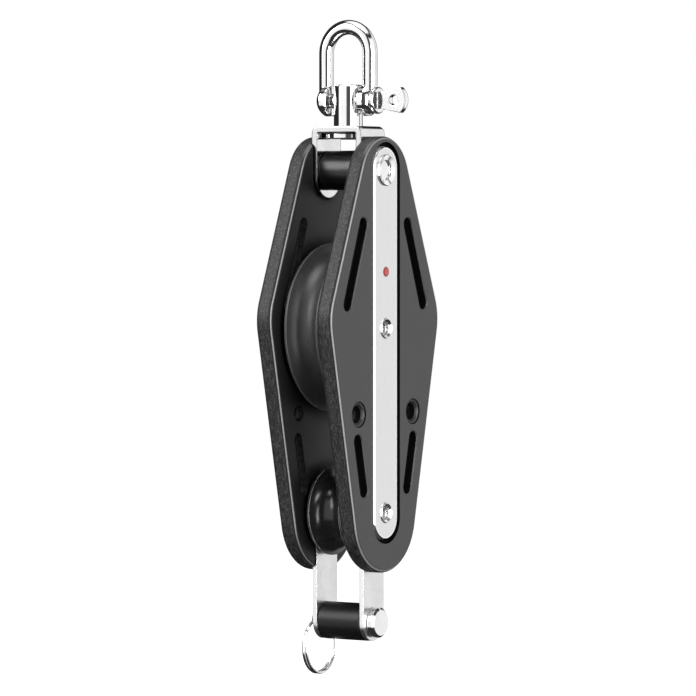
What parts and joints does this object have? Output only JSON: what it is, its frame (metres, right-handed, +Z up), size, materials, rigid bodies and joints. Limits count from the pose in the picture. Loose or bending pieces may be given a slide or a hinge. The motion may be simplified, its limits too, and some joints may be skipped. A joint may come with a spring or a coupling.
{
  "type": "fiddle block",
  "caption": "Fiddle block: a large rope sheave above a small one between two long cheeks, with a swivel shackle on the head and a becket with a clevis pin below.",
  "frame": {"origin": "the point inside the crown of the shackle bow where the load hangs", "axes": "+Z up towards the shackle; +X along the sheave axles, from the left cheek to the right cheek, on whose side the shackle pin's tab and the clevis pin's head are"},
  "size_m": [0.0486, 0.0818, 0.273],
  "materials": {
    "cheek_plastic": "satin black, milled edges",
    "strap_steel": "brushed stainless, bevelled edge",
    "polished_steel": "polished stainless",
    "shackle_steel": "polished forged stainless",
    "becket_steel": "polished stainless strip",
    "pin_steel": "polished turned stainless",
    "ring_steel": "bright spring wire",
    "sheave_alloy": "hard anodised, satin dark grey",
    "lower_sheave_alloy": "hard anodised, glossy black",
    "bush_plastic": "black, smooth",
    "roller_plastic": "black, satin",
    "bearing_plastic": "filled bearing plastic"
  },
  "bodies": {
    "shackle": {"shackle_bow": "shackle_steel", "shackle_pin": "shackle_steel"},
    "swivel": {"swivel_post": "polished_steel"},
    "block": {"right_cheek": "cheek_plastic", "left_cheek": "cheek_plastic", "right_strap": "strap_steel", "left_strap": "strap_steel", "head_bracket": "polished_steel", "head_pin": "pin_steel", "swivel_washer": "bearing_plastic", "upper_sleeve": "pin_steel", "upper_axle": "pin_steel", "upper_washer_right": "bearing_plastic", "upper_washer_left": "bearing_plastic", "lower_sleeve": "pin_steel", "lower_axle": "pin_steel", "lower_washer_right": "bearing_plastic", "lower_washer_left": "bearing_plastic", "becket_leg_right": "becket_steel", "becket_leg_left": "becket_steel"},
    "upper_wheel": {"upper_sheave": "sheave_alloy", "upper_bearing": "bearing_plastic"},
    "lower_wheel": {"lower_sheave": "lower_sheave_alloy", "lower_bearing": "bearing_plastic"},
    "head_bush": {"head_bush": "bush_plastic"},
    "becket_roller": {"becket_roller": "roller_plastic"},
    "clevis_pin": {"clevis_pin": "pin_steel"},
    "split_ring": {"split_ring": "ring_steel"}
  },
  "joints": [
    {"name": "shackle_swing", "type": "hinge", "parent": "shackle", "child": "swivel", "pos_m": [0, 0, -0.0275], "axis": [1, 0, 0], "range_deg": [-110, 110]},
    {"name": "swivel_turn", "type": "hinge", "parent": "swivel", "child": "block", "pos_m": [0, 0, -0.0381], "axis": [0, 0, 1], "continuous": true},
    {"name": "upper_sheave_spin", "type": "hinge", "parent": "block", "child": "upper_wheel", "pos_m": [0, 0, -0.1218], "axis": [1, 0, 0], "continuous": true},
    {"name": "lower_sheave_spin", "type": "hinge", "parent": "block", "child": "lower_wheel", "pos_m": [0, 0, -0.1983], "axis": [1, 0, 0], "continuous": true},
    {"name": "head_bush_spin", "type": "hinge", "parent": "block", "child": "head_bush", "pos_m": [0, 0, -0.0564], "axis": [1, 0, 0], "continuous": true},
    {"name": "becket_roller_spin", "type": "hinge", "parent": "block", "child": "becket_roller", "pos_m": [0, 0, -0.2441], "axis": [1, 0, 0], "continuous": true},
    {"name": "clevis_pin_turn", "type": "hinge", "parent": "block", "child": "clevis_pin", "pos_m": [0, 0, -0.2441], "axis": [1, 0, 0], "range_deg": [-140, 140]},
    {"name": "split_ring_swing", "type": "hinge", "parent": "clevis_pin", "child": "split_ring", "pos_m": [-0.0145, 0, -0.2441], "axis": [0, 1, 0], "range_deg": [0, 100]}
  ]
}
